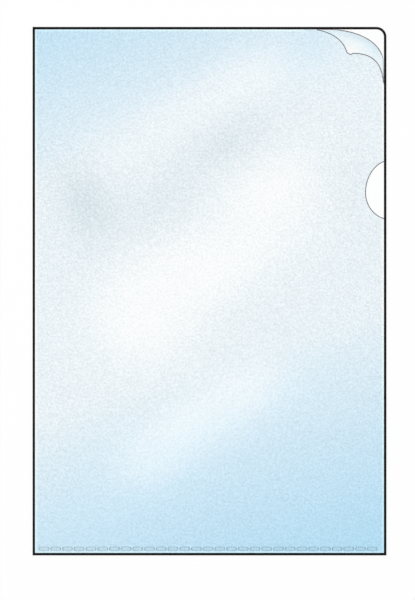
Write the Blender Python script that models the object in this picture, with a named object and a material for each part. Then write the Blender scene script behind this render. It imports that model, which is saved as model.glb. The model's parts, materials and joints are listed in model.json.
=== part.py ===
"""A clear plastic document folder, open at the top and on the right.

One film is folded along the left side and welded along the bottom by a row of short spots. The front leaf
has a thumb notch, and its top right corner is rolled over towards the reader. Slim dark strips run along
the cut sides.

The folder lies on its back: +X is to the right, +Y is up the page and +Z is towards the reader. The origin
is in the middle of the back, on the surface that the folder lies on.
"""

import math

import bmesh
import bpy
from mathutils import Vector

# Driving dimensions, in metres
FOLDER_WIDTH = 0.231
FOLDER_HEIGHT = 0.345
FILM_THICKNESS = 0.0002
POCKET_GAP = 0.0006
CORNER_RADIUS = 0.0065

# The dark strips along the cut sides, and the width of the folded side that matches them
EDGE_WIDTH = 0.0016
EDGE_RISE = 0.0002
EDGE_ROUNDING = 0.0001

# The row of weld spots
WELD_PITCH = 0.00765
WELD_SPACE = 0.0010
WELD_HEIGHT = 0.0028
WELD_INSET = 0.0044
WELD_MARGIN = 0.0075
WELD_DIP = 0.00005
WELD_LEDGE = 0.0015

# The thumb notch in the front leaf's right side
NOTCH_CHORD = 0.0377
NOTCH_DEPTH = 0.0119
NOTCH_FROM_TOP = 0.1064

# The rolled corner: how far it reaches along both sides, and its round outer line
CURL_REACH_ACROSS = 0.0480
CURL_REACH_DOWN = 0.0340
CURL_ROUND_ACROSS = 0.0345
CURL_ROUND_DOWN = 0.0205
CURL_SIDE_GAP = 0.0006

# Its turned-over edge: an arc down to the turn, a rounded tip, and an arc on from the crest
CURL_TURN_ACROSS = 0.0242
CURL_TURN_DOWN = 0.0151
CURL_TIP_ACROSS = 0.0216
CURL_TIP_DOWN = 0.0178
CURL_CREST_ACROSS = 0.0195
CURL_CREST_DOWN = 0.0156

# Its rolled section, wide in the middle and narrow at both ends
CURL_RADIUS = 0.0020
CURL_END_RADIUS = 0.0004
CURL_END_WIDTH = 0.0008
CURL_BASE_INSET = 0.0030

# Clearances: where pieces seat against each other, and where the film flexes
SEAT_GAP = 0.00005
FLEX_GAP = 0.0003

# Fineness of the round forms
CORNER_STEPS = 8
NOTCH_STEPS = 24
WELD_END_STEPS = 6
FOLD_STEPS = 10
ROLL_STEPS = 10
TIP_STEPS = 8
CURL_RINGS = 48

# Places that follow from the sizes above
HALF_WIDTH = FOLDER_WIDTH / 2
HALF_HEIGHT = FOLDER_HEIGHT / 2
STACK_HEIGHT = 2 * FILM_THICKNESS + POCKET_GAP
FRONT_BOTTOM = FILM_THICKNESS + POCKET_GAP
LEAF_INSET = EDGE_WIDTH + SEAT_GAP
LEAF_RIGHT = HALF_WIDTH - LEAF_INSET
LEAF_LEFT = -LEAF_RIGHT
LEAF_TOP = HALF_HEIGHT - LEAF_INSET
LEAF_BOTTOM = -LEAF_TOP
NOTCH_MIDDLE = HALF_HEIGHT - NOTCH_FROM_TOP
WELD_ROW = -HALF_HEIGHT + WELD_INSET
FLEX_START = Vector((LEAF_LEFT, LEAF_TOP))
FLEX_END = Vector((LEAF_RIGHT, WELD_ROW + WELD_HEIGHT / 2 + WELD_LEDGE))
CURL_START = Vector((LEAF_RIGHT - CURL_REACH_ACROSS, LEAF_TOP))
CURL_END = Vector((LEAF_RIGHT, LEAF_TOP - CURL_REACH_DOWN))
CURL_BASE_START = CURL_START - Vector((0, CURL_BASE_INSET))
CURL_BASE_END = CURL_END - Vector((CURL_BASE_INSET, 0))

CLEAR_BLUE = (0.78, 0.90, 0.96, 0.45)
WELD_BLUE = (0.62, 0.72, 0.78, 0.60)
EDGE_BLACK = (0.02, 0.02, 0.025, 1.0)


def make_material(name, colour, roughness):
    """A Principled material with one colour, see-through where the colour's last value is below 1."""
    material = bpy.data.materials.new(name)
    material.use_nodes = True
    principled = material.node_tree.nodes["Principled BSDF"]
    principled.inputs["Base Color"].default_value = colour
    principled.inputs["Roughness"].default_value = roughness
    principled.inputs["Metallic"].default_value = 0.0
    principled.inputs["Alpha"].default_value = colour[3]
    return material


def arc(centre, across, up, start, end, steps):
    """Points on an ellipse's arc, from the angle start to the angle end, both in degrees."""
    points = []
    for step in range(steps + 1):
        angle = math.radians(start + (end - start) * step / steps)
        points.append(Vector((centre[0] + across * math.cos(angle), centre[1] + up * math.sin(angle))))
    return points


def even_points(points, count):
    """The path through points, as count points at equal distances along it."""
    lengths = [0.0]
    for first, second in zip(points, points[1:]):
        lengths.append(lengths[-1] + (second - first).length)
    spaced = []
    piece = 0
    for step in range(count):
        wanted = lengths[-1] * step / (count - 1)
        while piece < len(points) - 2 and lengths[piece + 1] < wanted:
            piece += 1
        share = (wanted - lengths[piece]) / (lengths[piece + 1] - lengths[piece])
        spaced.append(points[piece].lerp(points[piece + 1], min(share, 1.0)))
    return spaced


def add_object(name, mesh_builder, material, origin=Vector((0, 0, 0)), parent=None):
    """Put a bmesh that is in world places into the scene as an object with its origin at origin."""
    for vertex in mesh_builder.verts:
        vertex.co -= origin
    bmesh.ops.recalc_face_normals(mesh_builder, faces=mesh_builder.faces)
    mesh = bpy.data.meshes.new(name)
    mesh_builder.to_mesh(mesh)
    mesh_builder.free()
    mesh.materials.append(material)
    piece = bpy.data.objects.new(name, mesh)
    piece.location = origin
    if parent is not None:
        piece.parent = parent
        piece.location = origin - parent.location
    bpy.context.collection.objects.link(piece)
    return piece


def add_plate(sheet, outline, bottom, thickness):
    """Add a flat sheet with the outline given to a bmesh, extruded upwards from the height bottom."""
    corners = [sheet.verts.new((point[0], point[1], bottom)) for point in outline]
    face = sheet.faces.new(corners)
    raised = bmesh.ops.extrude_face_region(sheet, geom=[face])["geom"]
    moved = [part for part in raised if isinstance(part, bmesh.types.BMVert)]
    bmesh.ops.translate(sheet, verts=moved, vec=(0, 0, thickness))


def plate(outline, bottom, thickness):
    """A bmesh that holds one flat sheet."""
    sheet = bmesh.new()
    add_plate(sheet, outline, bottom, thickness)
    return sheet


def round_edges(piece, width):
    """Round a piece's sharp edges with a small bevel."""
    bevel = piece.modifiers.new("rounding", "BEVEL")
    bevel.width = width
    bevel.segments = 2
    bevel.limit_method = "ANGLE"
    bevel.angle_limit = math.radians(50)
    piece.data.shade_smooth()
    piece.data.set_sharp_from_angle(angle=math.radians(40))


def build_back_leaf(material):
    """The rear leaf, which fills the space inside the dark edges."""
    radius = CORNER_RADIUS - LEAF_INSET
    corner = (LEAF_RIGHT - radius, LEAF_TOP - radius)
    outline = [Vector((LEAF_LEFT, LEAF_BOTTOM)), Vector((LEAF_RIGHT, LEAF_BOTTOM))]
    outline += arc(corner, radius, radius, 0, 90, CORNER_STEPS)
    outline.append(Vector((LEAF_LEFT, LEAF_TOP)))
    return add_object("back_leaf", plate(outline, 0, FILM_THICKNESS), material)


def build_edges(material):
    """The dark strips: along the top, along the right and round its corner, and along the bottom."""
    height = FILM_THICKNESS + EDGE_RISE
    inner_radius = CORNER_RADIUS - EDGE_WIDTH
    corner = (HALF_WIDTH - CORNER_RADIUS, HALF_HEIGHT - CORNER_RADIUS)
    left = -HALF_WIDTH + LEAF_INSET
    top_right = corner[0] - SEAT_GAP
    top_outline = [
        Vector((left, HALF_HEIGHT - EDGE_WIDTH)),
        Vector((top_right, HALF_HEIGHT - EDGE_WIDTH)),
        Vector((top_right, HALF_HEIGHT)),
        Vector((left, HALF_HEIGHT)),
    ]
    right_outline = [Vector((HALF_WIDTH, -HALF_HEIGHT + LEAF_INSET))]
    right_outline += arc(corner, CORNER_RADIUS, CORNER_RADIUS, 0, 90, CORNER_STEPS)
    right_outline += arc(corner, inner_radius, inner_radius, 90, 0, CORNER_STEPS)
    right_outline.append(Vector((HALF_WIDTH - EDGE_WIDTH, -HALF_HEIGHT + LEAF_INSET)))
    bottom_outline = [
        Vector((left, -HALF_HEIGHT)),
        Vector((HALF_WIDTH, -HALF_HEIGHT)),
        Vector((HALF_WIDTH, -HALF_HEIGHT + EDGE_WIDTH)),
        Vector((left, -HALF_HEIGHT + EDGE_WIDTH)),
    ]
    strips = (
        ("edge_top", top_outline, height),
        ("edge_right", right_outline, height),
        ("edge_bottom", bottom_outline, STACK_HEIGHT),
    )
    for name, outline, strip_height in strips:
        strip = add_object(name, plate(outline, 0, strip_height), material)
        round_edges(strip, EDGE_ROUNDING)


def build_fold_spine(material):
    """The folded film along the left side: a half-round turn whose two legs meet the leaves."""
    outer = STACK_HEIGHT / 2
    centre = (-HALF_WIDTH + outer, outer)
    leg_end = -HALF_WIDTH + EDGE_WIDTH
    profile = [Vector((leg_end, STACK_HEIGHT))]
    profile += arc(centre, outer, outer, 90, 270, FOLD_STEPS)
    profile += [Vector((leg_end, 0)), Vector((leg_end, FILM_THICKNESS))]
    profile += arc(centre, POCKET_GAP / 2, POCKET_GAP / 2, 270, 90, FOLD_STEPS)
    profile.append(Vector((leg_end, FRONT_BOTTOM)))
    spine = bmesh.new()
    corners = [spine.verts.new((point[0], -HALF_HEIGHT, point[1])) for point in profile]
    face = spine.faces.new(corners)
    raised = bmesh.ops.extrude_face_region(spine, geom=[face])["geom"]
    moved = [part for part in raised if isinstance(part, bmesh.types.BMVert)]
    bmesh.ops.translate(spine, verts=moved, vec=(0, FOLDER_HEIGHT, 0))
    piece = add_object("fold_spine", spine, material)
    piece.data.shade_smooth()
    piece.data.set_sharp_from_angle(angle=math.radians(40))


def weld_middles():
    """The middle of each weld spot in the row along the bottom."""
    count = int((FOLDER_WIDTH - 2 * WELD_MARGIN) / WELD_PITCH) + 1
    first = -HALF_WIDTH + WELD_MARGIN
    return [Vector((first + index * WELD_PITCH, WELD_ROW)) for index in range(count)]


def weld_outline(middle, growth):
    """A bar with round ends, grown by growth all round."""
    end_radius = WELD_HEIGHT / 2 + growth
    half_straight = (WELD_PITCH - WELD_SPACE - WELD_HEIGHT) / 2
    right_end = (middle[0] + half_straight, middle[1])
    left_end = (middle[0] - half_straight, middle[1])
    outline = arc(right_end, end_radius, end_radius, -90, 90, WELD_END_STEPS)
    outline += arc(left_end, end_radius, end_radius, 90, 270, WELD_END_STEPS)
    return outline


def build_welds(material):
    """The weld spots, where both leaves are melted into one: each goes through both, a little dipped."""
    thickness = STACK_HEIGHT - 2 * WELD_DIP
    for index, middle in enumerate(weld_middles()):
        spot = plate(weld_outline(middle, 0), WELD_DIP, thickness)
        add_object(f"weld_spot_{index + 1:02d}", spot, material)


def build_weld_cutter(material):
    """The row of openings that the weld spots take up in both leaves, as one cutter."""
    row = bmesh.new()
    for middle in weld_middles():
        add_plate(row, weld_outline(middle, SEAT_GAP), -STACK_HEIGHT, 3 * STACK_HEIGHT)
    cutter = add_object("weld_cutter", row, material)
    cutter.hide_render = True
    cutter.display_type = "WIRE"
    return cutter


def cut_welds(leaf, cutter):
    """Open a leaf where the weld spots go through it."""
    cut = leaf.modifiers.new("weld_openings", "BOOLEAN")
    cut.operation = "DIFFERENCE"
    cut.solver = "EXACT"
    cut.object = cutter


def flex_gap_down():
    """Half of the flex gap, measured down the page and not square to the flex line."""
    along = (FLEX_END - FLEX_START).normalized()
    return FLEX_GAP / 2 / along[0]


def build_held_leaf(material):
    """The lower left half of the front leaf, which the fold and the weld hold down."""
    below = Vector((0, -flex_gap_down()))
    outline = [
        Vector((LEAF_LEFT, LEAF_BOTTOM)),
        Vector((LEAF_RIGHT, LEAF_BOTTOM)),
        FLEX_END + below,
        FLEX_START + below,
    ]
    return add_object("front_leaf_held", plate(outline, FRONT_BOTTOM, FILM_THICKNESS), material)


def build_free_leaf(material):
    """The upper right half of the front leaf, which lifts, with the thumb notch in its right side.

    It turns about the flex line, from the top of the fold to the right end of the weld.
    """
    above = flex_gap_down()
    flex_way = FLEX_END - FLEX_START
    fold_end = FLEX_START + Vector((above * flex_way[0] / -flex_way[1], 0))
    weld_end = FLEX_END + Vector((0, above))
    notch_radius = ((NOTCH_CHORD / 2) ** 2 + NOTCH_DEPTH**2) / (2 * NOTCH_DEPTH)
    notch_centre = (LEAF_RIGHT - NOTCH_DEPTH + notch_radius, NOTCH_MIDDLE)
    half_angle = math.degrees(math.asin(NOTCH_CHORD / 2 / notch_radius))
    base_way = (CURL_BASE_END - CURL_BASE_START).normalized()
    base_gap = Vector((base_way[1], -base_way[0])) * FLEX_GAP / 2
    outline = [weld_end]
    outline += arc(notch_centre, notch_radius, notch_radius, 180 + half_angle, 180 - half_angle, NOTCH_STEPS)
    outline += [
        CURL_END - Vector((0, FLEX_GAP)),
        CURL_BASE_END + base_gap - Vector((0, FLEX_GAP)),
        CURL_BASE_START + base_gap - Vector((FLEX_GAP, 0)),
        CURL_START - Vector((FLEX_GAP, 0)),
        fold_end,
    ]
    middle = (FLEX_START + FLEX_END) / 2
    origin = Vector((middle[0], middle[1], STACK_HEIGHT))
    leaf = plate(outline, FRONT_BOTTOM, FILM_THICKNESS)
    return add_object("front_leaf_free", leaf, material, origin)


def rolled_line():
    """The outer line of the rolled corner: along the top, round an ellipse and down the right side."""
    centre = (LEAF_RIGHT - CURL_SIDE_GAP - CURL_ROUND_ACROSS, LEAF_TOP - CURL_ROUND_DOWN)
    first = [CURL_START]
    first += arc(centre, CURL_ROUND_ACROSS, CURL_ROUND_DOWN, 90, 45, CURL_RINGS)
    second = arc(centre, CURL_ROUND_ACROSS, CURL_ROUND_DOWN, 45, 0, CURL_RINGS)
    second.append(CURL_END)
    return first, second


def rounded_corner(start, corner, end, steps):
    """A curve from start to end that leaves towards the corner and arrives from it, without reaching it."""
    points = []
    for step in range(steps + 1):
        share = step / steps
        points.append(start.lerp(corner, share).lerp(corner.lerp(end, share), share))
    return points


def turned_edge():
    """The film's edge on the turned-over side: two quarter ellipses, joined by a rounded tip."""
    turn = Vector((LEAF_RIGHT - CURL_TURN_ACROSS, LEAF_TOP - CURL_TURN_DOWN))
    tip = Vector((LEAF_RIGHT - CURL_TIP_ACROSS, LEAF_TOP - CURL_TIP_DOWN))
    crest = Vector((LEAF_RIGHT - CURL_CREST_ACROSS, LEAF_TOP - CURL_CREST_DOWN))
    start = CURL_START - Vector((0, CURL_END_WIDTH))
    end = CURL_END - Vector((CURL_END_WIDTH, 0))
    before = arc((start[0], turn[1]), turn[0] - start[0], start[1] - turn[1], 90, 0, CURL_RINGS)
    after = arc((crest[0], end[1]), end[0] - crest[0], crest[1] - end[1], 90, 0, CURL_RINGS)
    rounded = rounded_corner(turn, tip, crest, TIP_STEPS)
    half = TIP_STEPS // 2
    return before + rounded[1 : half + 1], rounded[half:-1] + after


def curl_ring(share, outer, edge):
    """One closed section of the rolled film: flat from its base, round the roll and back to its edge.

    share runs from 0 to 1 along the roll. outer is the roll's outermost point there and edge the film's
    turned-over edge. The roll's outer radius r swells from both ends to the middle, and the film goes
    round it as  outer + r d (1 - sin a),  r (1 - cos a)  for a from 0 to 180 degrees, with d the way in.
    """
    radius = CURL_END_RADIUS + (CURL_RADIUS - CURL_END_RADIUS) * math.sin(math.pi * share)
    inward = (edge - outer).normalized()
    centre = outer + inward * radius
    base = CURL_BASE_START.lerp(CURL_BASE_END, share)
    centre_height = FRONT_BOTTOM + radius
    outside = [Vector((base[0], base[1], FRONT_BOTTOM))]
    inside = [Vector((base[0], base[1], FRONT_BOTTOM + FILM_THICKNESS))]
    for step in range(ROLL_STEPS + 1):
        angle = math.pi * step / ROLL_STEPS
        for side, reach in ((outside, radius), (inside, radius - FILM_THICKNESS)):
            point = centre - inward * reach * math.sin(angle)
            side.append(Vector((point[0], point[1], centre_height - reach * math.cos(angle))))
    outside.append(Vector((edge[0], edge[1], centre_height + radius)))
    inside.append(Vector((edge[0], edge[1], centre_height + radius - FILM_THICKNESS)))
    return outside + inside[::-1]


def build_curled_corner(material, leaf):
    """The rolled corner: sections along the roll, joined one to the next and closed at both ends."""
    half_count = CURL_RINGS // 2 + 1
    outer_halves = [even_points(half, half_count) for half in rolled_line()]
    edge_halves = [even_points(half, half_count) for half in turned_edge()]
    outer_points = outer_halves[0] + outer_halves[1][1:]
    edge_points = edge_halves[0] + edge_halves[1][1:]
    roll = bmesh.new()
    rings = []
    for index, (outer, edge) in enumerate(zip(outer_points, edge_points)):
        section = curl_ring(index / (len(outer_points) - 1), outer, edge)
        rings.append([roll.verts.new(point) for point in section])
    for ring, following in zip(rings, rings[1:]):
        for index in range(len(ring)):
            after = (index + 1) % len(ring)
            roll.faces.new((ring[index], ring[after], following[after], following[index]))
    roll.faces.new(rings[0])
    roll.faces.new(rings[-1])
    middle = (CURL_BASE_START + CURL_BASE_END) / 2
    origin = Vector((middle[0], middle[1], STACK_HEIGHT))
    piece = add_object("curled_corner", roll, material, origin, leaf)
    piece.data.shade_smooth()
    piece.data.set_sharp_from_angle(angle=math.radians(40))
    return piece


def main():
    """Clear the scene and build every piece of the folder."""
    for old in list(bpy.data.objects):
        bpy.data.objects.remove(old)
    clear_film = make_material("clear_film", CLEAR_BLUE, 0.25)
    weld_film = make_material("weld_film", WELD_BLUE, 0.40)
    dark_edge = make_material("dark_edge", EDGE_BLACK, 0.45)
    back_leaf = build_back_leaf(clear_film)
    held_leaf = build_held_leaf(clear_film)
    weld_cutter = build_weld_cutter(weld_film)
    cut_welds(back_leaf, weld_cutter)
    cut_welds(held_leaf, weld_cutter)
    build_welds(weld_film)
    build_edges(dark_edge)
    build_fold_spine(dark_edge)
    free_leaf = build_free_leaf(clear_film)
    build_curled_corner(clear_film, free_leaf)


main()
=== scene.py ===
# %% [markdown]
# # A clear document folder
#
# The folder is one sheet of light blue, see-through film. It is folded along its left side, welded along
# the bottom by a row of short dashes, and open at the top and on the right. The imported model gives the
# place and the motion of every piece. This notebook loads it as a fixed frame and dresses it: finer film,
# the pressed weld row, the cut edges, the finishes, the light and the camera.

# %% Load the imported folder
import json
import math

import bpy
import numpy as np
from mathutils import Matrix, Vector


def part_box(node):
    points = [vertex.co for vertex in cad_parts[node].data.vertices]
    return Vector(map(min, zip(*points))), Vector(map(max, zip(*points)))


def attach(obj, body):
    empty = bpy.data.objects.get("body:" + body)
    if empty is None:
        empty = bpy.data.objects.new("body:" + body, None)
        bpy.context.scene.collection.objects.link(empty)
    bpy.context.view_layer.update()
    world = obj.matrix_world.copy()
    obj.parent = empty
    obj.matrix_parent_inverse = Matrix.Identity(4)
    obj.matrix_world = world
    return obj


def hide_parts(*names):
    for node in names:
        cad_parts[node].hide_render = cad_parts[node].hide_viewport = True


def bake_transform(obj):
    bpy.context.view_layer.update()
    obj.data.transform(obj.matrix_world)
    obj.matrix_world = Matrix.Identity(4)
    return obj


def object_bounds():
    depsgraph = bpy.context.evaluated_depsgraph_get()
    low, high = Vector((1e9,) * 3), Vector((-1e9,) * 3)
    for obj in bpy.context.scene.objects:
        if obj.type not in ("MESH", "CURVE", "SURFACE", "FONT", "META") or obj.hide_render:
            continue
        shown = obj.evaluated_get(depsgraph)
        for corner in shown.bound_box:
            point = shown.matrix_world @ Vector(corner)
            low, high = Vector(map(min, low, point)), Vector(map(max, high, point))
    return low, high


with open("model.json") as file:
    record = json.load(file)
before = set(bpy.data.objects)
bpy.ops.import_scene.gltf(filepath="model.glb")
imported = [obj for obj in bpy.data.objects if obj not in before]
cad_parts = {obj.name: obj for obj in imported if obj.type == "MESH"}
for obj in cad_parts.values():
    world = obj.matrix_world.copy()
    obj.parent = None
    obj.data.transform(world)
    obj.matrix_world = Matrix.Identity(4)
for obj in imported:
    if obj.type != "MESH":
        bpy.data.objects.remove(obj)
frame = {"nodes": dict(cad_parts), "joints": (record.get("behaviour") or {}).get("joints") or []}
cad_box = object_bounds()
print("solid model in mm:", [round(1000 * size, 2) for size in cad_box[1] - cad_box[0]])

# %% [markdown]
# ## The camera
#
# The picture looks straight down on the folder, with its long side upright, and shows no perspective. A
# long lens from far above comes close to that. Blender fits the sensor's 36 mm to the picture's longer
# side, so the lens follows from the height that the picture covers on the folder.

# %% Put a long lens straight above the folder
PICTURE_SIZE = (415, 600)
MILLIMETRES_PER_PIXEL = 0.6527
FOLDER_MIDDLE_PIXEL = (209.0, 290.65)
CAMERA_HEIGHT = 6.0
SENSOR = 36.0
FILM_LEVEL = 0.001

scale = MILLIMETRES_PER_PIXEL / 1000
aim_x = (PICTURE_SIZE[0] / 2 - 0.5 - FOLDER_MIDDLE_PIXEL[0]) * scale
aim_y = (FOLDER_MIDDLE_PIXEL[1] - PICTURE_SIZE[1] / 2 + 0.5) * scale
camera_data = bpy.data.cameras.new("camera")
camera_data.sensor_width = SENSOR
camera_data.lens = SENSOR * CAMERA_HEIGHT / (PICTURE_SIZE[1] * scale)
camera = bpy.data.objects.new("camera", camera_data)
camera.location = (aim_x, aim_y, CAMERA_HEIGHT + FILM_LEVEL)
bpy.context.scene.collection.objects.link(camera)
bpy.context.scene.camera = camera
print("lens in mm:", round(camera_data.lens, 1), "above", round(aim_x, 5), round(aim_y, 5))

# %% [markdown]
# ## Where the film lies
#
# Every piece below has to meet the solid model, so the places are read from it rather than typed again.
# A node's box gives the film's sides and levels, and a joint gives the line about which a part bends.

# %% Read the levels and the bend lines from the frame
back_low, back_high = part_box("back_leaf")
held_low, held_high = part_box("front_leaf_held")
LEFT, RIGHT = back_low.x, back_high.x
BOTTOM, TOP = back_low.y, back_high.y
BACK_UNDER, BACK_OVER = back_low.z, back_high.z
FRONT_UNDER, FRONT_OVER = held_low.z, held_high.z
FILM = FRONT_OVER - FRONT_UNDER
OUTER_CORNER = cad_box[1].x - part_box("edge_right")[0].x
joints = {joint["name"]: joint for joint in frame["joints"]}
print("film in mm:", round(1000 * FILM, 3), "front leaf level:", round(1000 * FRONT_UNDER, 3))
print("sides in mm:", [round(1000 * side, 2) for side in (LEFT, RIGHT, BOTTOM, TOP)])
print("joints:", {name: joint.get("range") for name, joint in joints.items()})

# %% [markdown]
# ## From a grid of points to a closed sheet
#
# Film is thin, but it still has two faces and an edge. Each sheet here starts as two grids of points, one
# for each face, worked out by a formula. The helper joins both grids with a narrow wall all round, so the
# mesh is closed. The volume of a closed mesh is positive only if its faces point outwards, which makes a
# simple test for turning them the right way.

# %% Helpers that turn grids into closed sheets
SHARP_ANGLE = math.radians(35)


def grid_faces(rows, columns):
    """Four-sided faces of a grid: each joins a point, its right neighbour and the two points above them."""
    index = np.arange(rows * columns).reshape(rows, columns)
    corners = (index[:-1, :-1], index[:-1, 1:], index[1:, 1:], index[1:, :-1])
    return np.stack(corners, axis=-1).reshape(-1, 4)


def enclosed_volume(points, faces):
    """Volume inside closed faces: the sum of the pyramids from the origin to each face's two triangles."""
    a, b, c, d = (points[faces[:, corner]] for corner in range(4))
    first = np.einsum("ij,ij->i", a, np.cross(b, c))
    second = np.einsum("ij,ij->i", a, np.cross(c, d))
    return (first + second).sum() / 6


def add_piece(name, points, faces):
    """A mesh object at the origin whose faces point outwards, smooth except across sharp edges."""
    if enclosed_volume(points, faces) < 0:
        faces = faces[:, ::-1]
    mesh = bpy.data.meshes.new(name)
    mesh.from_pydata(points.tolist(), [], faces.tolist())
    mesh.shade_smooth()
    mesh.set_sharp_from_angle(angle=SHARP_ANGLE)
    piece = bpy.data.objects.new(name, mesh)
    bpy.context.scene.collection.objects.link(piece)
    return piece


def closed_sheet(name, over, under):
    """Two grids of points, of shape (rows, columns, 3), joined by a wall along the whole rim."""
    rows, columns = over.shape[:2]
    count = rows * columns
    index = np.arange(count).reshape(rows, columns)
    over_faces = grid_faces(rows, columns)
    rim = np.concatenate([index[0, :-1], index[:-1, -1], index[-1, :0:-1], index[:0:-1, 0]])
    ahead = np.roll(rim, -1)
    walls = np.stack([rim + count, ahead + count, ahead, rim], axis=-1)
    points = np.concatenate([over.reshape(-1, 3), under.reshape(-1, 3)])
    faces = np.concatenate([over_faces, over_faces[:, ::-1] + count, walls])
    return add_piece(name, points, faces)


print("a grid of 3 by 3 points has", len(grid_faces(3, 3)), "faces")

# %% Helpers that report a piece and soften a change
def report(piece):
    """Print a piece's number of points and its size in millimetres."""
    size = [round(1000 * side, 2) for side in piece.dimensions]
    print(piece.name, "points:", len(piece.data.vertices), "size in mm:", size)


def smooth_step(start, end, value):
    """0 before start, 1 after end and 3t^2 - 2t^3 between, with t the share of the way."""
    share = np.clip((value - start) / (end - start), 0, 1)
    return share * share * (3 - 2 * share)


print("a quarter of the way is softened to", smooth_step(0, 1, 0.25))

# %% [markdown]
# ## The tint of the film, with its painted glare and shade
#
# The film is a light blue that deepens towards the top left and the bottom right. Light passes it twice and
# is thrown back by it; the soft pale streaks of glare that slant across it are painted into its colour here
# as painted reflection, with a few dull grey bands of painted shade among them. A paint program would use a
# soft brush for this. Here each streak is a Gaussian, the bell curve, stretched along the slant, and both
# blue ends are ramps across a slanted line. The formula is worked out for every point of a sheet and stored
# with the mesh, so the tint and the painted glare stay on the film when it bends.

# %% The tint, with its painted glare and shade, as a formula of the place on the leaf
# Plain and blue are the film's own tint; the pale blue and the bright white are painted glare, the dull grey
# is painted shade.
PLAIN = np.array([0.842, 0.912, 0.947])
BLUE = np.array([0.459, 0.739, 0.916])
PALE_BLUE_GLARE = np.array([0.605, 0.852, 1.000])
GLARE_WHITE = np.array([0.977, 0.995, 1.000])
SHADE_GREY = np.array([0.642, 0.746, 0.810])
TOP_BLUE_SLANT = math.radians(20.6)
TOP_BLUE_REACH = 0.1088
TOP_BLUE_MOST = 0.747
LOW_BLUE_SLANT = math.radians(17.4)
LOW_BLUE_REACH = 0.1511
LOW_BLUE_CURVE = 1.267
STREAK_SLANT = math.radians(28.4)
# Streaks to paint: the white and pale blue ones are painted glare, the dull grey ones painted shade, and one
# blue one deepens the tint.
GLARE_AND_SHADE_STREAKS = (
    {"middle": (-0.0025, 0.0130), "length": 0.0599, "width": 0.0215, "most": 1.00, "colour": GLARE_WHITE},
    {"middle": (0.0416, 0.0640), "length": 0.0451, "width": 0.0290, "most": 1.00, "colour": GLARE_WHITE},
    {"middle": (0.0366, 0.1436), "length": 0.1559, "width": 0.0194, "most": 0.63, "colour": GLARE_WHITE},
    {"middle": (-0.0112, -0.0874), "length": 0.0423, "width": 0.0177, "most": 1.00, "colour": GLARE_WHITE},
    {"middle": (0.0104, 0.0963), "length": 0.0351, "width": 0.0163, "most": 0.42, "colour": SHADE_GREY},
    {"middle": (-0.0807, 0.0581), "length": 0.0185, "width": 0.0283, "most": 0.61, "colour": SHADE_GREY},
    {"middle": (-0.0434, -0.0220), "length": 0.0281, "width": 0.0288, "most": 1.00, "colour": GLARE_WHITE},
    {"middle": (-0.0321, 0.0532), "length": 0.0274, "width": 0.0207, "most": 0.30, "colour": SHADE_GREY},
    {"middle": (-0.0272, 0.0050), "length": 0.0408, "width": 0.0291, "most": 1.00, "colour": GLARE_WHITE},
    {"middle": (0.0665, 0.1636), "length": 0.0276, "width": 0.0186, "most": 0.38, "colour": BLUE},
    {"middle": (-0.0379, -0.1090), "length": 0.0252, "width": 0.0158, "most": 0.65, "colour": GLARE_WHITE},
    {"middle": (0.0221, -0.0661), "length": 0.0276, "width": 0.0167, "most": 0.83, "colour": GLARE_WHITE},
    {"middle": (-0.0170, -0.1022), "length": 0.0998, "width": 0.0268, "most": 0.37, "colour": PALE_BLUE_GLARE},
    {"middle": (0.0886, 0.0727), "length": 0.0253, "width": 0.0336, "most": 0.17, "colour": SHADE_GREY},
)


def film_tint_and_painted_light(x, y):
    """The film's colour at x, y: plain, turned blue by two slanted ramps, then drawn towards each streak.
    The pale streaks are painted glare and the dull grey ones painted shade.

    A streak's share at a point is  most * exp(-(along / length)^2 - (across / width)^2),  with along and
    across measured from its middle on axes turned by the streaks' slant.
    """
    from_top = (x - LEFT) * math.sin(TOP_BLUE_SLANT) + (TOP - y) * math.cos(TOP_BLUE_SLANT)
    from_low = (RIGHT - x) * math.sin(LOW_BLUE_SLANT) + (y - BOTTOM) * math.cos(LOW_BLUE_SLANT)
    top_share = TOP_BLUE_MOST * np.clip(1 - from_top / TOP_BLUE_REACH, 0, 1)
    low_share = np.clip(1 - np.maximum(from_low / LOW_BLUE_REACH, 0) ** LOW_BLUE_CURVE, 0, 1)
    share = np.clip(top_share + low_share, 0, 1)[..., None]
    colour = PLAIN * (1 - share) + BLUE * share
    for streak in GLARE_AND_SHADE_STREAKS:
        east = x - streak["middle"][0]
        north = y - streak["middle"][1]
        along = east * math.cos(STREAK_SLANT) + north * math.sin(STREAK_SLANT)
        across = north * math.cos(STREAK_SLANT) - east * math.sin(STREAK_SLANT)
        bell = np.exp(-((along / streak["length"]) ** 2) - (across / streak["width"]) ** 2)
        colour = colour + (streak["most"] * bell)[..., None] * (streak["colour"] - colour)
    return colour


print("tint in the middle:", film_tint_and_painted_light(np.array(0.0), np.array(0.0)).round(3))

# %% The share of the grain, and how both are kept with a sheet
GRAIN_BASE = 0.55
GRAIN_OF_DULL = 2.6


def grain_share(colour):
    """How strongly the grain shows: base + of_dull * sqrt(1 - highest) - (highest - lowest channel).

    That is most in the dull grey of painted shade, less where it is blue and least in the pale streaks of
    painted glare.
    """
    highest, lowest = colour.max(-1), colour.min(-1)
    return GRAIN_BASE + GRAIN_OF_DULL * np.sqrt(np.clip(1 - highest, 0, None)) - (highest - lowest)


def keep_tint(piece, colours, share):
    """Store each point's colour, with the share of the grain as its fourth value, for both faces."""
    share = np.broadcast_to(share, colours.shape[:-1])[..., None]
    flat = np.concatenate([colours, share], axis=-1).reshape(-1, 4)
    layer = piece.data.attributes.new("film_tint_and_painted_light", "FLOAT_COLOR", "POINT")
    layer.data.foreach_set("color", np.concatenate([flat, flat]).ravel())


print("grain in a dull and in a bright place:", grain_share(SHADE_GREY).round(2), grain_share(GLARE_WHITE).round(2))

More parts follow.
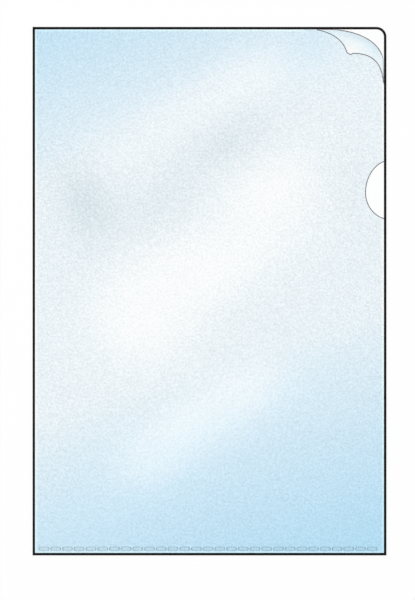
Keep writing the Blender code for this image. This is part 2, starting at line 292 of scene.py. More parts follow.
# %% [markdown]
# ## The front leaf
#
# On the real folder the front leaf is one sheet, held by the fold and the weld and loose elsewhere. It
# could be a plate cut by a cylinder for the thumb notch. A grid whose rows end at a curve is simpler to
# bend: every row runs from the fold to the leaf's right side, and that side is the notch's arc where the
# notch is and the bend line of the curled corner near the top. The rows crowd where the side turns.

# %% The right side of the front leaf as a formula
NOTCH_DEPTH = 0.0120
NOTCH_ACROSS = 0.0171
NOTCH_UP = 0.0215
NOTCH_DOWN = 0.0177
NOTCH_FROM_TOP = 0.1083
WELD_BAND_TOP = -0.1652
NOTCH_ROWS = 49
ROWS_BELOW_NOTCH = 60
ROWS_ABOVE_NOTCH = 16
ROWS_AT_CORNER = 24
RIM_STEPS = np.array([0.0, 0.0006, 0.0010, 0.0015])

notch_x = RIGHT - NOTCH_DEPTH + NOTCH_ACROSS
notch_y = cad_box[1].y - NOTCH_FROM_TOP
notch_end_angle = math.acos((notch_x - RIGHT) / NOTCH_ACROSS)
corner_joint = joints["corner_lift"]
bend_middle = np.array(corner_joint["pos_m"][:2])
bend_way = np.array(corner_joint["axis"][:2])
bend_top = bend_middle + bend_way * (TOP - bend_middle[1]) / bend_way[1]
bend_side = bend_middle + bend_way * (RIGHT - bend_middle[0]) / bend_way[0]


def right_side(y):
    """Where a row at height y ends: the leaf's side, less the notch's arc, less the corner past its bend.

    The arc is an ellipse's left half,  notch_x - across * sqrt(1 - (rise / half)^2),  whose half height
    is a little more above its middle than below it.
    """
    rise = y - notch_y
    share = rise / np.where(rise > 0, NOTCH_UP, NOTCH_DOWN)
    side = np.minimum(notch_x - NOTCH_ACROSS * np.sqrt(np.clip(1 - share**2, 0, None)), RIGHT)
    bend = bend_side[0] + (y - bend_side[1]) * bend_way[0] / bend_way[1]
    return np.where(y > bend_side[1], np.minimum(bend, side), side)


notch_angles = np.linspace(-notch_end_angle, notch_end_angle, NOTCH_ROWS)
notch_heights = notch_y + np.where(notch_angles > 0, NOTCH_UP, NOTCH_DOWN) * np.sin(notch_angles)
leaf_rows = np.concatenate(
    [
        np.linspace(WELD_BAND_TOP, notch_heights[0], ROWS_BELOW_NOTCH)[:-1],
        notch_heights,
        np.linspace(notch_heights[-1], bend_side[1], ROWS_ABOVE_NOTCH)[1:-1],
        np.linspace(bend_side[1], TOP - RIM_STEPS[-1], ROWS_AT_CORNER)[:-1],
        TOP - RIM_STEPS[::-1],
    ]
)
print("rows:", len(leaf_rows), "notch in mm:", round(1000 * np.ptp(notch_heights), 2))
print("corner bends from", bend_top.round(4), "to", bend_side.round(4))

# %% [markdown]
# A film that lies on a table is never quite flat. Two long, shallow waves, a tenth of a millimetre high,
# are enough for the light to wander over it. They fade out at the rim, where the leaf meets its neighbours.

# %% Build the front leaf
WAVE_HEIGHT = 0.00012
WAVE_LENGTHS = (0.118, 0.083)
WAVE_SLANTS = (0.4, 0.3)
WAVE_FADE = 0.030
LEAF_COLUMNS = 58
RIM_LIGHT = 0.12
RIM_LIGHT_REACH = (0.0009, 0.0015)

shares = np.linspace(0, 1, LEAF_COLUMNS)[1:-1]
column_share = np.concatenate([np.zeros(len(RIM_STEPS)), shares, np.ones(len(RIM_STEPS))])
column_inset = np.concatenate([RIM_STEPS, np.zeros(len(shares)), -RIM_STEPS[::-1]])
leaf_y = leaf_rows[:, None] + 0 * column_share
leaf_x = LEFT + (right_side(leaf_rows)[:, None] - LEFT) * column_share + column_inset


def film_wave(x, y):
    """Height of the leaf's waves: a product of two slanted sines that fades to nothing at the rim."""
    first = np.sin(2 * math.pi * (x + WAVE_SLANTS[0] * y) / WAVE_LENGTHS[0])
    second = np.sin(2 * math.pi * (y - WAVE_SLANTS[1] * x) / WAVE_LENGTHS[1])
    to_bend = (bend_middle[1] - y) * bend_way[0] - (bend_middle[0] - x) * bend_way[1]
    room = np.minimum(x - LEFT, RIGHT - x)
    room = np.minimum(room, np.minimum(y - WELD_BAND_TOP, TOP - y))
    room = np.minimum(room, to_bend)
    return WAVE_HEIGHT * first * second * smooth_step(0, WAVE_FADE, room)


def rim_light(x, y, colour):
    """The film made lighter in a narrow line along its rim, where its cut edge gathers light."""
    room = np.minimum(np.minimum(x - LEFT, RIGHT - x), np.minimum(y - BOTTOM, TOP - y))
    light = RIM_LIGHT * (1 - smooth_step(*RIM_LIGHT_REACH, room))
    return np.minimum(colour + light[..., None], 1.0)


leaf_wave = film_wave(leaf_x, leaf_y)
front_over = np.stack([leaf_x, leaf_y, FRONT_OVER + leaf_wave], axis=-1)
front_under = np.stack([leaf_x, leaf_y, FRONT_UNDER + leaf_wave], axis=-1)
front_film = closed_sheet("front_film", front_over, front_under)
leaf_tint_and_glare = film_tint_and_painted_light(leaf_x, leaf_y)
keep_tint(front_film, rim_light(leaf_x, leaf_y, leaf_tint_and_glare), grain_share(leaf_tint_and_glare))
report(front_film)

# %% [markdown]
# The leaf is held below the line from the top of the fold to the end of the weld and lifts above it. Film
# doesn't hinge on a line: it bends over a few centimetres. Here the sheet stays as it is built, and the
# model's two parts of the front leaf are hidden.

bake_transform(front_film)
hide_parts("front_leaf_held", "front_leaf_free")

# %% [markdown]
# ## The curled corner
#
# The front leaf's loose corner has rolled over, so its underside shows and the folder looks used. A bend
# modifier would roll it about one straight axis, but here the roll follows a curve, tight at both ends and
# wide in the middle. So the corner is lofted: its outer line and its turned-over edge are drawn first, and a
# section of film runs flat from the bend line, half round the roll, and back to the turned edge. The edge's
# tip is paired with a place on the outer line, given by an angle, that keeps the sections from crossing.

# %% Helpers that draw curves
HALF_RINGS = 61
CURVE_POINTS = 121


def ellipse(middle, radii, start, end, count=CURVE_POINTS):
    """Points on an ellipse from the angle start to the angle end, in degrees, as an array of x and y."""
    angle = np.radians(np.linspace(start, end, count))
    return np.stack([middle[0] + radii[0] * np.cos(angle), middle[1] + radii[1] * np.sin(angle)], axis=-1)


def bezier(corners, count=CURVE_POINTS):
    """A Bezier curve: a share t of the way between each two neighbours, repeated down to one point."""
    t = np.linspace(0, 1, count)[:, None]
    levels = [np.asarray(corner) + 0 * t for corner in corners]
    while len(levels) > 1:
        levels = [first + t * (second - first) for first, second in zip(levels, levels[1:])]
    return levels[0]


def even_path(*parts, count=HALF_RINGS):
    """Points at even distances along a path, found from its running length."""
    path = np.concatenate([np.atleast_2d(part) for part in parts])
    length = np.concatenate([[0], np.cumsum(np.linalg.norm(np.diff(path, axis=0), axis=1))])
    wanted = np.linspace(0, length[-1], count)
    return np.stack([np.interp(wanted, length, path[:, axis]) for axis in range(2)], axis=-1)


def level_side(path):
    """Unit vectors that are level and square to a path, on its right as it is followed."""
    along = np.gradient(path, axis=0)
    side = np.stack([along[:, 1], -along[:, 0]], axis=-1)
    return side / np.linalg.norm(side, axis=1, keepdims=True)


quarter = ellipse((0, 0), (1, 1), 0, 90)
print("a quarter turn ends at", quarter[-1].round(3), "after", len(even_path(quarter)), "even points")

# %% Draw the roll's outer line and the turned edge
ROLL_MIDDLE = (0.0346, 0.0208)
ROLL_ROUND = (0.0342, 0.0208)
ROLL_REACH = (0.0440, 0.0352)
TIP_ANGLE = 55
TURNED_END = 0.0003
FIRST_ARC = ((0.0437, 0.0002), (0.0424, 0.0007), (0.0277, 0.0026), (0.0243, 0.0151))
TIP_CORNER = (0.0216, 0.0174)
SECOND_ARC = ((0.0206, 0.0158), (0.0030, 0.0153), (0.0009, 0.0279), (0.0003, 0.0350))
TIP_POINTS = 41

leaf_corner = np.array([RIGHT, TOP])
roll_start = leaf_corner - (ROLL_REACH[0], 0)
roll_end = leaf_corner - (0, ROLL_REACH[1])
roll_middle = leaf_corner - ROLL_MIDDLE
outer_line = np.concatenate(
    [
        even_path(roll_start, ellipse(roll_middle, ROLL_ROUND, 90, TIP_ANGLE)),
        even_path(ellipse(roll_middle, ROLL_ROUND, TIP_ANGLE, 0), roll_end)[1:],
    ]
)
first_arc = leaf_corner - bezier(FIRST_ARC)
second_arc = leaf_corner - bezier(SECOND_ARC)
tip = bezier((first_arc[-1], leaf_corner - TIP_CORNER, second_arc[0]), count=TIP_POINTS)
half = len(tip) // 2
turned_edge = np.concatenate(
    [even_path(first_arc, tip[: half + 1]), even_path(tip[half:], second_arc)[1:]]
)
turned_edge = np.minimum(turned_edge, leaf_corner - TURNED_END)
print("sections along the roll:", len(outer_line), "tip at", (1000 * tip[half]).round(2))

# %% [markdown]
# At each step along the roll, a section needs three lengths: the flat part, the half turn and the part that
# lies back over it. Written with whole arrays, one formula gives the point of every section at once. The
# roll always stays narrower than the way back to the turned edge, so no section runs into itself.

# %% Build the curled corner
ROLL_RADIUS = 0.0020
ROLL_END_RADIUS = 0.0003
ROLL_MOST_OF_WAY = 0.8
TURNED_LIFT = 0.0005
FLAT_STEPS = 14
TURN_STEPS = 37
BACK_STEPS = 16

roll_share = np.linspace(0, 1, len(outer_line))
swell = np.sin(math.pi * roll_share)
way_back = np.linalg.norm(turned_edge - outer_line, axis=1, keepdims=True)
inward = (turned_edge - outer_line) / way_back
roll_radius = (ROLL_END_RADIUS + (ROLL_RADIUS - ROLL_END_RADIUS) * swell)[:, None]
roll_radius = np.minimum(roll_radius, ROLL_MOST_OF_WAY * way_back)
roll_axis = outer_line + roll_radius * inward
bend_line = bend_top + roll_share[:, None] * (bend_side - bend_top)


def curl_face(reach, flat_level, lift):
    """One face of the rolled film, reach away from the roll's axis, as a grid of sections.

    Flat: straight from the bend line to below the axis. Turn: for an angle a from 0 to 180 degrees,
    axis - inward * reach * sin a  at the height  axis height - reach * cos a.  Back: straight on from
    above the axis to the turned edge, lifted by the square of the way.
    """
    flat = np.linspace(0, 1, FLAT_STEPS)[:-1][None, :, None]
    angle = np.linspace(0, math.pi, TURN_STEPS)[None, :]
    back = np.linspace(0, 1, BACK_STEPS)[1:][None, :, None]
    flat_plan = bend_line[:, None] + flat * (roll_axis - bend_line)[:, None]
    turn_plan = roll_axis[:, None] - inward[:, None] * (reach * np.sin(angle))[..., None]
    back_plan = roll_axis[:, None] + back * (turned_edge - roll_axis)[:, None]
    plan = np.concatenate([flat_plan, turn_plan, back_plan], axis=1)
    axis_height = FRONT_UNDER + roll_radius
    flat_height = np.broadcast_to(flat_level, flat_plan.shape[:2])
    turn_height = axis_height - reach * np.cos(angle)
    back_height = axis_height + reach + lift * swell[:, None] * back[..., 0] ** 2
    height = np.concatenate([flat_height, turn_height, back_height], axis=1)
    return np.concatenate([plan, height[..., None]], axis=-1)


curl_outside = curl_face(roll_radius, FRONT_UNDER, TURNED_LIFT)
curl_inside = curl_face(roll_radius - FILM, FRONT_OVER, TURNED_LIFT)
curl_film = closed_sheet("curl_film", curl_outside, curl_inside)
report(curl_film)

# %% [markdown]
# The turned-over part is white about its tip and bluer towards the roll: a painted highlight where its
# underside catches the light and painted shade where it rolls away. The roll itself shows as a thin grey
# line, because the film stands on edge there and is looked through lengthwise; that line is painted shade
# too. The line starts away from the strip at the top and thins out beside the one on the right. What lies
# under the turned part is left white and free of grain, so that the layers don't add up to a darker one.

# %% Tint the flat part of the curled corner
CURL_WHITE = np.array([1.0, 1.0, 1.0])
COVER_SOFT = 0.0004

curl_plan = curl_outside[..., :2]
nearest = np.linalg.norm(curl_plan[:, :, None] - turned_edge, axis=-1).argmin(axis=-1)
past_edge = ((turned_edge[nearest] - curl_plan) * level_side(turned_edge)[nearest]).sum(-1)
covered = smooth_step(-COVER_SOFT, COVER_SOFT, past_edge)
covered[:, FLAT_STEPS - 1 :] = 1
flat_tint = film_tint_and_painted_light(curl_plan[..., 0], curl_plan[..., 1])
under_tint = flat_tint + covered[..., None] * (CURL_WHITE - flat_tint)
under_grain = grain_share(flat_tint) * (1 - covered)
print("share of the flat part under the turned part:", covered[:, : FLAT_STEPS - 1].mean().round(2))

# %% Tint the turned-over part, with its painted highlight and painted shade
CURL_SHADE_BLUE = np.array([0.745, 0.880, 0.940])
CURL_PALE = np.array([0.870, 0.965, 1.000])
ROLL_LINE_SHADE = np.array([0.270, 0.275, 0.295])
CURL_GRAIN = 0.22
TURN_SHOWN_FROM = 15
PALE_REACH = (0.0012, 0.0068)
TIP_HIGHLIGHT_REACH = 0.0078
BLUE_END = (0.0160, 0.0240)
LINE_FADE = (0.00056, 0.00084)
LINE_START = (0.0117, 0.0170)
LINE_END = (0.0160, 0.0205)
LINE_END_SHARE = 0.35

from_line = ((curl_plan - outer_line[:, None]) * inward[:, None]).sum(-1)
from_tip = np.linalg.norm(curl_plan - tip[half], axis=-1)
before_end = outer_line[:, 1] - roll_end[1]
# Painted shade, bluer towards the roll, and a painted highlight, white about the tip.
roll_shade_share = smooth_step(*BLUE_END, before_end)[:, None] * (1 - smooth_step(*PALE_REACH, from_line))
tip_highlight_share = np.exp(-((from_tip / TIP_HIGHLIGHT_REACH) ** 2))
turned_tint = CURL_PALE + roll_shade_share[..., None] * (CURL_SHADE_BLUE - CURL_PALE)
turned_tint = turned_tint + tip_highlight_share[..., None] * (CURL_WHITE - turned_tint)
# The roll's thin grey line, painted shade.
line_seen = smooth_step(*LINE_START, outer_line[:, 0] - roll_start[0])
line_colour = CURL_WHITE + line_seen[:, None] * (ROLL_LINE_SHADE - CURL_WHITE)
line_full = LINE_END_SHARE + (1 - LINE_END_SHARE) * smooth_step(*LINE_END, before_end)
line_share = 1 - smooth_step(*LINE_FADE, from_line / line_full[:, None])
turned_tint = turned_tint + line_share[..., None] * (line_colour[:, None] - turned_tint)
shown = np.arange(curl_plan.shape[1]) >= FLAT_STEPS - 1 + TURN_SHOWN_FROM
curl_tint = np.where(shown[:, None], turned_tint, under_tint)
curl_grain = np.where(shown, CURL_GRAIN * (1 - tip_highlight_share), under_grain)
keep_tint(curl_film, curl_tint, curl_grain)
print("curl tint from", curl_tint.min((0, 1)).round(2), "to", curl_tint.max((0, 1)).round(2))

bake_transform(curl_film)
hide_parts("curled_corner")

# %% [markdown]
# ## The weld row
#
# A heated bar presses the two leaves together in a row of short dashes. Each dash is a shallow dish with a
# raised rim. A displacement texture could make it, but the relief is simple enough for a formula: the
# distance to the nearest dash's outline, which is a straight middle with round ends. The rim follows where
# that distance is just negative and the dish further in. The dashes' places come from the solid model,
# and a trim of a tenth of a millimetre rounds them off as the press does.

# %% Build the welded band along the bottom
DASH_END_STEPS = 13
DASH_MIDDLE_STEPS = 5
BAND_FINE_ROWS = 27
DASH_TRIM = np.array([0.00010, 0.00013])
RIM_INSET = 0.00055
RIM_HALF_WIDTH = 0.00032
RIM_RISE = 0.00006
DISH_DEPTH = 0.00005
DISH_SLOPE = 0.0006
WALL_HALF_WIDTH = 0.00012
SEAT = 0.00002

weld_names = sorted(name for name in frame["nodes"] if name.startswith("weld_spot"))
weld_boxes = np.array([[list(corner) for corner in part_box(name)] for name in weld_names])
weld_middles = weld_boxes.mean(axis=1)
weld_size = (weld_boxes[:, 1] - weld_boxes[:, 0]).mean(axis=0)
weld_row = weld_middles[0, 1] - DASH_TRIM[1]
half_length, half_height = weld_size[:2] / 2 - DASH_TRIM
straight = half_length - half_height


def weld_distance(x, y):
    """Distance to the nearest dash's outline, negative inside: a straight middle with half-round ends."""
    nearest = np.abs(x[..., None] - weld_middles[:, 0]).min(axis=-1)
    beyond = np.clip(nearest - straight, 0, None)
    return np.hypot(beyond, y - weld_row) - half_height


dash_end = np.linspace(straight, half_length + 2 * RIM_HALF_WIDTH, DASH_END_STEPS)
dash_middle = np.linspace(-straight, straight, DASH_MIDDLE_STEPS)[1:-1]
dash_columns = np.concatenate([-dash_end[::-1], dash_middle, dash_end])
columns = (weld_middles[:, :1] + dash_columns).ravel()
columns = np.concatenate([LEFT + RIM_STEPS, columns, RIGHT - RIM_STEPS])
columns = np.unique(columns.round(6))
half_rows = half_height + 2 * RIM_HALF_WIDTH
fine_rows = weld_row + np.linspace(-half_rows, half_rows, BAND_FINE_ROWS)
rows = np.concatenate([BOTTOM + RIM_STEPS[:2], fine_rows, [WELD_BAND_TOP]])
band_x, band_y = np.meshgrid(columns, rows)
distance = weld_distance(band_x, band_y)
rim = np.exp(-(((distance + RIM_INSET) / RIM_HALF_WIDTH) ** 2))
dish = smooth_step(RIM_INSET, RIM_INSET + DISH_SLOPE, -distance)
pressed = smooth_step(-WALL_HALF_WIDTH, WALL_HALF_WIDTH, -distance)
band_over = np.stack([band_x, band_y, FRONT_OVER + RIM_RISE * rim - DISH_DEPTH * dish], axis=-1)
press = FRONT_UNDER - BACK_OVER - SEAT
band_under = np.stack([band_x, band_y, FRONT_UNDER - press * pressed], axis=-1)
weld_band = closed_sheet("weld_band", band_over, band_under)
report(weld_band)

# %% Tint the dashes' outlines and set the band on the back leaf
RIM_TINT = np.array([0.83, 0.81, 0.80])
DISH_TINT = np.array([0.99, 0.97, 0.96])

band_film = film_tint_and_painted_light(band_x, band_y)
band_tint = rim_light(band_x, band_y, band_film)
band_tint = band_tint * (1 - (1 - RIM_TINT) * rim[..., None]) * (1 - (1 - DISH_TINT) * dish[..., None])
keep_tint(weld_band, band_tint, grain_share(band_film))
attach(weld_band, "back")
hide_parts(*weld_names)
print("dashes:", len(weld_names), "size in mm:", (1000 * weld_size).round(2))

# %% [markdown]
# ## The back leaf
#
# The back leaf is the same film, seen where the front leaf leaves it bare: in the thumb notch and behind the
# curled corner. It is a plain sheet with one rounded corner, so its rows end at a line that turns into an
# arc. It is almost clear, because all of the picture's tint is given to the front leaf.

# %% Build the back leaf
BACK_COLUMNS = 48
BACK_ROWS = 64
CORNER_ROWS = 17
BACK_TINT = np.array([0.992, 0.996, 0.998])
BACK_GRAIN = 0.05

back_corner = OUTER_CORNER - (cad_box[1].x - RIGHT)
corner_rise = np.sin(np.linspace(0, math.pi / 2, CORNER_ROWS))
arc_start = TOP - back_corner
back_rows = np.concatenate(
    [np.linspace(BOTTOM, arc_start, BACK_ROWS)[:-1], arc_start + back_corner * corner_rise]
)
into_corner = np.clip((back_rows - arc_start) / back_corner, 0, 1)
back_side = RIGHT - back_corner * (1 - np.sqrt(1 - into_corner**2))
back_x = LEFT + (back_side[:, None] - LEFT) * np.linspace(0, 1, BACK_COLUMNS)
back_y = back_rows[:, None] + 0 * back_x
back_over = np.stack([back_x, back_y, np.full_like(back_x, BACK_OVER)], axis=-1)
back_under = np.stack([back_x, back_y, np.full_like(back_x, BACK_UNDER)], axis=-1)
back_film = closed_sheet("back_film", back_over, back_under)
keep_tint(back_film, np.broadcast_to(BACK_TINT, back_x.shape + (3,)), BACK_GRAIN)
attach(back_film, "back")
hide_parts("back_leaf")
report(back_film)

# %% [markdown]
# ## The dark strip
#
# A slim dark strip runs along the top, down the right side and along the bottom. The solid model has one
# strip for each side, with a seam where two of them meet. Seen from above they are one line, so the scene
# makes them one strip with rounded shoulders, just wide enough to touch the film. Each of its points is
# found from its distance to the outline, which turns the corners by itself: an arc's radius shrinks by that
# distance, and at the square corner both sides move in by it.

# %% Build the strip along the three open sides
STRIP_STEPS = 11
STRIP_ROWS = 60
STRIP_SIDE_ROWS = 90
STRIP_WALL = 0.6
SHOULDER_POWER = 4
STRIP_CLIMB = 0.010
STRIP_GRIP = 0.00006

outer_low, outer_high = cad_box
strip_low, strip_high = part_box("edge_top")
bottom_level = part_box("edge_bottom")[1].z
spine_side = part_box("fold_spine")[1].x
strip_width = strip_high.y - strip_low.y + STRIP_GRIP
across = np.sin(np.linspace(-math.pi / 2, math.pi / 2, STRIP_STEPS))
inset = strip_width * (1 + across) / 2
turn = np.radians(np.linspace(90, 0, CORNER_ROWS))[:, None]
arc_x, arc_y = outer_high.x - OUTER_CORNER, outer_high.y - OUTER_CORNER
arc_reach = OUTER_CORNER - inset


def strip_rows(x, y):
    """Rows of the strip's points: x and y, either of which may be the same along a row or for all rows."""
    return np.stack(np.broadcast_arrays(x, y), axis=-1).reshape(-1, STRIP_STEPS, 2)


top_places = np.linspace(spine_side, arc_x, STRIP_ROWS)
side_places = np.linspace(arc_y, outer_low.y + strip_width, STRIP_SIDE_ROWS)
low_places = np.linspace(outer_high.x - strip_width, spine_side, STRIP_ROWS)
strip_plan = np.concatenate(
    [
        strip_rows(top_places[:-1, None], outer_high.y - inset),
        strip_rows(arc_x + arc_reach * np.cos(turn), arc_y + arc_reach * np.sin(turn)),
        strip_rows(outer_high.x - inset, side_places[1:-1, None]),
        strip_rows(outer_high.x - inset, outer_low.y + inset),
        strip_rows(low_places[1:, None], outer_low.y + inset),
    ]
)
climb = smooth_step(strip_width, strip_width + STRIP_CLIMB, strip_plan[:, :1, 1] - outer_low.y)
level = bottom_level + climb * (strip_high.z - bottom_level)
shoulder = STRIP_WALL + (1 - STRIP_WALL) * (1 - across**SHOULDER_POWER) ** (1 / SHOULDER_POWER)
strip_over = np.concatenate([strip_plan, (level * shoulder)[..., None]], axis=-1)
strip_under = np.concatenate([strip_plan, np.full(strip_plan.shape[:2] + (1,), BACK_UNDER)], axis=-1)
dark_strip = closed_sheet("dark_strip", strip_over, strip_under)
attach(dark_strip, "back")
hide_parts("edge_top", "edge_right", "edge_bottom")
report(dark_strip)

# %% [markdown]
# ## The cut edges
#
# Where a blade has cut clear film, the edge shows as a fine grey line, in the thumb notch and along the
# turned-over edge of the corner. A thin bead gives that line a real shape that catches light from any side.
# Its section is a small oval, carried along the edge. Seen as a sheet, the oval's upper half is one face
# and its lower half the other, so the helper for closed sheets can make it too.

# %% Carry a small oval along the two cut edges
BEAD_HALF_WIDTH = 0.00033
BEAD_HALF_HEIGHT = 0.00015
BEAD_STEPS = 7
BEAD_SPAN = math.radians(75)


def bead(name, path):
    """A closed bead along a path:  side * w sin a  across it and  h cos a  above and below it.

    side is level and square to the path, a runs from -75 to 75 degrees, and w and h are the oval's half
    width and half height.
    """
    side = level_side(path)
    angle = np.linspace(-BEAD_SPAN, BEAD_SPAN, BEAD_STEPS)
    plan = path[:, None, :2] + side[:, None] * (BEAD_HALF_WIDTH * np.sin(angle))[None, :, None]
    middle = path[:, 2][:, None, None] + 0 * plan[..., :1]
    rise = (BEAD_HALF_HEIGHT * np.cos(angle))[None, :, None]
    over = np.concatenate([plan, middle + rise], axis=-1)
    under = np.concatenate([plan, middle - rise], axis=-1)
    return closed_sheet(name, over, under)


notch_path = np.stack(
    [right_side(notch_heights), notch_heights, np.full(NOTCH_ROWS, FRONT_UNDER + FILM / 2)], axis=-1
)
notch_edge = bead("notch_edge", notch_path)
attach(notch_edge, "front_free")
turned_path = (curl_outside[:, -1] + curl_inside[:, -1]) / 2
curl_edge = bead("curl_edge", turned_path)
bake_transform(curl_edge)
report(notch_edge)
report(curl_edge)

# %% [markdown]
# ## Writing materials as sums
#
# A material is a small graph of nodes. Placing and linking each node by hand hides what the graph works
# out, so a small class stands for one output of the graph. Adding or multiplying two of them adds a Math
# node, and every other node comes from one method. The finishes below then read like formulas.

# %% A socket that can be used in sums
class Wire:
    """One output of a node graph. Sums with numbers or other wires add the Math nodes for them."""

    def __init__(self, graph, socket=None):
        self.graph = graph
        self.socket = socket

    def node(self, kind, settings=None, sockets=None, output=0):
        """Add a node: first its settings, then its sockets, which take a value or a wire."""
        made = self.graph.nodes.new(kind)
        for name, value in (settings or {}).items():
            setattr(made, name, value)
        for name, value in (sockets or {}).items():
            if isinstance(value, Wire):
                self.graph.links.new(value.socket, made.inputs[name])
            else:
                made.inputs[name].default_value = value
        return Wire(self.graph, made.outputs[output] if len(made.outputs) else None)

    def math(self, operation, first, second):
        return self.node("ShaderNodeMath", {"operation": operation}, {0: first, 1: second})

    def __add__(self, other):
        return self.math("ADD", self, other)

    def __radd__(self, other):
        return self.math("ADD", other, self)

    def __sub__(self, other):
        return self.math("SUBTRACT", self, other)

    def __rsub__(self, other):
        return self.math("SUBTRACT", other, self)

    def __mul__(self, other):
        return self.math("MULTIPLY", self, other)

    def __rmul__(self, other):
        return self.math("MULTIPLY", other, self)


print("a wire can be added, subtracted and multiplied")

# %% The nodes that the finishes share
MIX_FIRST, MIX_SECOND, MIX_RESULT = 6, 7, 2
NOISE_MIDDLE = 0.5


def new_graph(name):
    """An empty material, and a wire that adds nodes to it."""
    material = bpy.data.materials.new(name)
    material.use_nodes = True
    material.node_tree.nodes.clear()
    return material, Wire(material.node_tree)


def blend_colours(graph, kind, factor, first, second):
    """A Mix node for colours: first and second put together by the kind of blend, by a factor."""
    settings = {"data_type": "RGBA", "blend_type": kind}
    sockets = {0: factor, MIX_FIRST: first, MIX_SECOND: second}
    return graph.node("ShaderNodeMix", settings, sockets, MIX_RESULT)


def grain(graph, scale, detail, stretch=(1, 1, 1)):
    """Noise on the piece's own coordinates, about 0.5 on average, with scale grains per metre."""
    place = graph.node("ShaderNodeTexCoord", output="Object")
    place = graph.node("ShaderNodeMapping", sockets={"Vector": place, "Scale": stretch})
    return graph.node("ShaderNodeTexNoise", sockets={"Vector": place, "Scale": scale, "Detail": detail})


def finish_material(graph, sockets):
    """A Principled shader with these sockets, set as the material's surface."""
    surface = graph.node("ShaderNodeBsdfPrincipled", sockets=sockets)
    graph.node("ShaderNodeOutputMaterial", sockets={"Surface": surface})


print("a mix takes its colours from sockets", MIX_FIRST, "and", MIX_SECOND)

# %% [markdown]
# ## The clear film
#
# Folder film is clear plastic with a faint embossed grain, which keeps it from sticking and from glaring.
# Glass in Blender is a Principled shader with full transmission: what is behind shows through, tinted by
# the base colour, and the surface mirrors more at a shallow angle. The grain goes into the tint and, very
# lightly, into the surface's slope. The roughness follows wider patches, each as wide as sixty grains.

# %% Make the film
FILM_GRAIN = 760.0
FILM_GRAIN_DETAIL = 1.0
FILM_PATCH = 60
FILM_PATCH_DETAIL = 3.0
FILM_GRAIN_DEPTHS = (0.40, 0.31, 0.28)
FILM_ROUGHNESS = 0.10
FILM_ROUGHNESS_SPREAD = 0.10
FILM_BUMP = 0.03
FILM_BUMP_HEIGHT = 0.00002
FILM_INDEX = 1.45


def film_material(name):
    """Clear film: the stored tint and painted glare times its grain, seen through a slightly rough, faintly
    uneven face.
    """
    material, graph = new_graph(name)
    tint = graph.node("ShaderNodeAttribute", {"attribute_name": "film_tint_and_painted_light"}, output="Color")
    share = graph.node("ShaderNodeAttribute", {"attribute_name": "film_tint_and_painted_light"}, output="Alpha")
    fine = grain(graph, FILM_GRAIN, FILM_GRAIN_DETAIL)
    wide = grain(graph, FILM_GRAIN / FILM_PATCH, FILM_PATCH_DETAIL)
    speckle = share * (fine - NOISE_MIDDLE)
    shades = {channel: 1 + depth * speckle for channel, depth in enumerate(FILM_GRAIN_DEPTHS)}
    shade = graph.node("ShaderNodeCombineColor", sockets=shades)
    bump = {"Strength": FILM_BUMP, "Distance": FILM_BUMP_HEIGHT, "Height": fine}
    sockets = {
        "Base Color": blend_colours(graph, "MULTIPLY", 1.0, tint, shade),
        "Roughness": FILM_ROUGHNESS + FILM_ROUGHNESS_SPREAD * wide,
        "Transmission Weight": 1.0,
        "IOR": FILM_INDEX,
        "Normal": graph.node("ShaderNodeBump", sockets=bump),
    }
    finish_material(graph, sockets)
    return material


film_pieces = (front_film, curl_film, weld_band, back_film)
clear_film = film_material("clear_film")
for piece in film_pieces:
    piece.data.materials.append(clear_film)
print("film on", [piece.name for piece in film_pieces])

# %% [markdown]
# ## The dark edge and the cut edge
#
# The strips along the sides and the folded spine are near black. Such plastic is never one flat tone: a fine
# mottle and a duller or glossier patch here and there keep it from looking painted on. The cut edges get a
# plain grey with the same kind of mottle.

# %% Make the edge finishes and put them on
MATTE_SHINE = 0.06
MOTTLE_DETAIL = 3.0
MOTTLE_PATCH = 20
MOTTLE_PATCH_DETAIL = 2.0
MOTTLE_BUMP = 0.15
MOTTLE_BUMP_HEIGHT = 0.00002
EDGE_DARK = (0.004, 0.004, 0.005, 1.0)
EDGE_PALE = (0.010, 0.010, 0.012, 1.0)
EDGE_MOTTLE = 2400.0
EDGE_ROUGHNESS = (0.45, 0.25)
CUT_DARK = (0.16, 0.17, 0.19, 1.0)
CUT_PALE = (0.30, 0.31, 0.34, 1.0)
CUT_MOTTLE = 1600.0
CUT_ROUGHNESS = (0.45, 0.20)


def mottled_material(name, dark, pale, scale, roughness):
    """A solid plastic between two tones, mottled by noise. Its roughness, least and spread, is patchy."""
    material, graph = new_graph(name)
    fine = grain(graph, scale, MOTTLE_DETAIL)
    wide = grain(graph, scale / MOTTLE_PATCH, MOTTLE_PATCH_DETAIL)
    bump = {"Strength": MOTTLE_BUMP, "Distance": MOTTLE_BUMP_HEIGHT, "Height": fine}
    sockets = {
        "Base Color": blend_colours(graph, "MIX", fine, dark, pale),
        "Roughness": roughness[0] + roughness[1] * wide,
        "Specular IOR Level": MATTE_SHINE,
        "Normal": graph.node("ShaderNodeBump", sockets=bump),
    }
    finish_material(graph, sockets)
    return material


dark_edge = mottled_material("dark_edge", EDGE_DARK, EDGE_PALE, EDGE_MOTTLE, EDGE_ROUGHNESS)
cut_edge = mottled_material("cut_edge", CUT_DARK, CUT_PALE, CUT_MOTTLE, CUT_ROUGHNESS)
fold_spine = frame["nodes"]["fold_spine"]
fold_spine.data.materials.clear()
for piece in (dark_strip, fold_spine):
    piece.data.materials.append(dark_edge)
for piece in (notch_edge, curl_edge):
    piece.data.materials.append(cut_edge)
print("edge finishes:", dark_edge.name, cut_edge.name)

# %% [markdown]
# ## The floor and the light
#
# The folder lies on a white floor. A white that is only lit always ends up a little grey, so for the camera,
# and for what the film mirrors or lets through, the floor is mostly a plain white of strength 1. The rest is
# an ordinary lit surface, which keeps the folder's soft shadow. The sky works the same way.

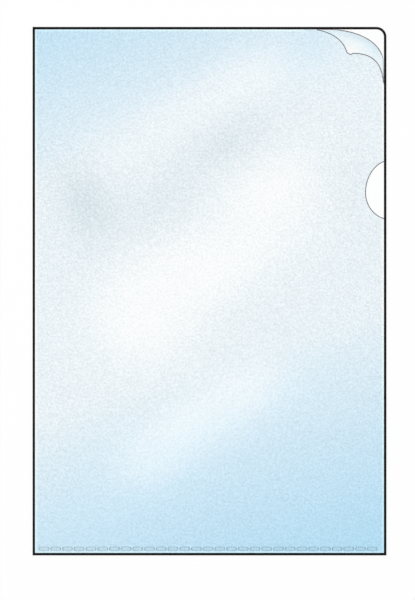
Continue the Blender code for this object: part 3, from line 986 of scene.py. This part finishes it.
# %% Lay the floor
FLOOR_SIZE = 20.0
FLOOR_LEVEL = -0.0004
FLOOR_LIT_SHARE = 0.10
WHITE = (1.0, 1.0, 1.0, 1.0)


def rays(graph):
    """Light Path's outputs, each 1 for one kind of ray: from the camera, mirrored, and let through."""
    path = graph.node("ShaderNodeLightPath").socket.node
    kinds = ("Is Camera Ray", "Is Glossy Ray", "Is Transmission Ray")
    return [Wire(graph.graph, path.outputs[kind]) for kind in kinds]


half_floor = FLOOR_SIZE / 2
floor_corners = [(half_floor * x, half_floor * y) for x, y in ((-1, -1), (1, -1), (1, 1), (-1, 1))]
floor_mesh = bpy.data.meshes.new("floor")
floor_mesh.from_pydata([(x, y, FLOOR_LEVEL) for x, y in floor_corners], [], [(0, 1, 2, 3)])
floor = bpy.data.objects.new("floor", floor_mesh)
bpy.context.scene.collection.objects.link(floor)
floor_material, graph = new_graph("floor_white")
lit = graph.node("ShaderNodeBsdfDiffuse", sockets={"Color": WHITE})
white = graph.node("ShaderNodeEmission", sockets={"Color": WHITE, "Strength": 1.0})
from_camera, mirrored, let_through = rays(graph)
share = graph.math("MAXIMUM", let_through, (1 - FLOOR_LIT_SHARE) * (from_camera + mirrored))
floor_surface = graph.node("ShaderNodeMixShader", sockets={0: share, 1: lit, 2: white})
graph.node("ShaderNodeOutputMaterial", sockets={"Surface": floor_surface})
floor_mesh.materials.append(floor_material)
print("floor:", FLOOR_SIZE, "m across")

# %% [markdown]
# The light is that of a bright room: an even sky and one large soft lamp from the upper left. Together they
# light a level face with a strength of about 1, so that a colour renders about as it is written.

# %% Set the sky and the lamp
SKY_STRENGTH = 0.78
LAMP_PLACE = (-0.85, 0.75, 1.15)
LAMP_SIZE = 1.6
LAMP_POWER = 8.0

world = bpy.data.worlds.new("sky")
world.use_nodes = True
world.node_tree.nodes.clear()
sky = Wire(world.node_tree)
from_camera, mirrored, let_through = rays(sky)
seen = sky.math("MINIMUM", from_camera + mirrored + let_through, 1.0)
strength = SKY_STRENGTH + (1 - SKY_STRENGTH) * seen
even_sky = sky.node("ShaderNodeBackground", sockets={"Color": WHITE, "Strength": strength})
sky.node("ShaderNodeOutputWorld", sockets={"Surface": even_sky})
bpy.context.scene.world = world
lamp_data = bpy.data.lights.new("soft_lamp", "AREA")
lamp_data.size = LAMP_SIZE
lamp_data.energy = LAMP_POWER
lamp = bpy.data.objects.new("soft_lamp", lamp_data)
lamp.location = LAMP_PLACE
lamp.rotation_euler = (-lamp.location).to_track_quat("-Z", "Y").to_euler()
bpy.context.scene.collection.objects.link(lamp)
bpy.context.scene.view_settings.view_transform = "Standard"
print("lamp at", LAMP_PLACE, "power", LAMP_POWER, "W")
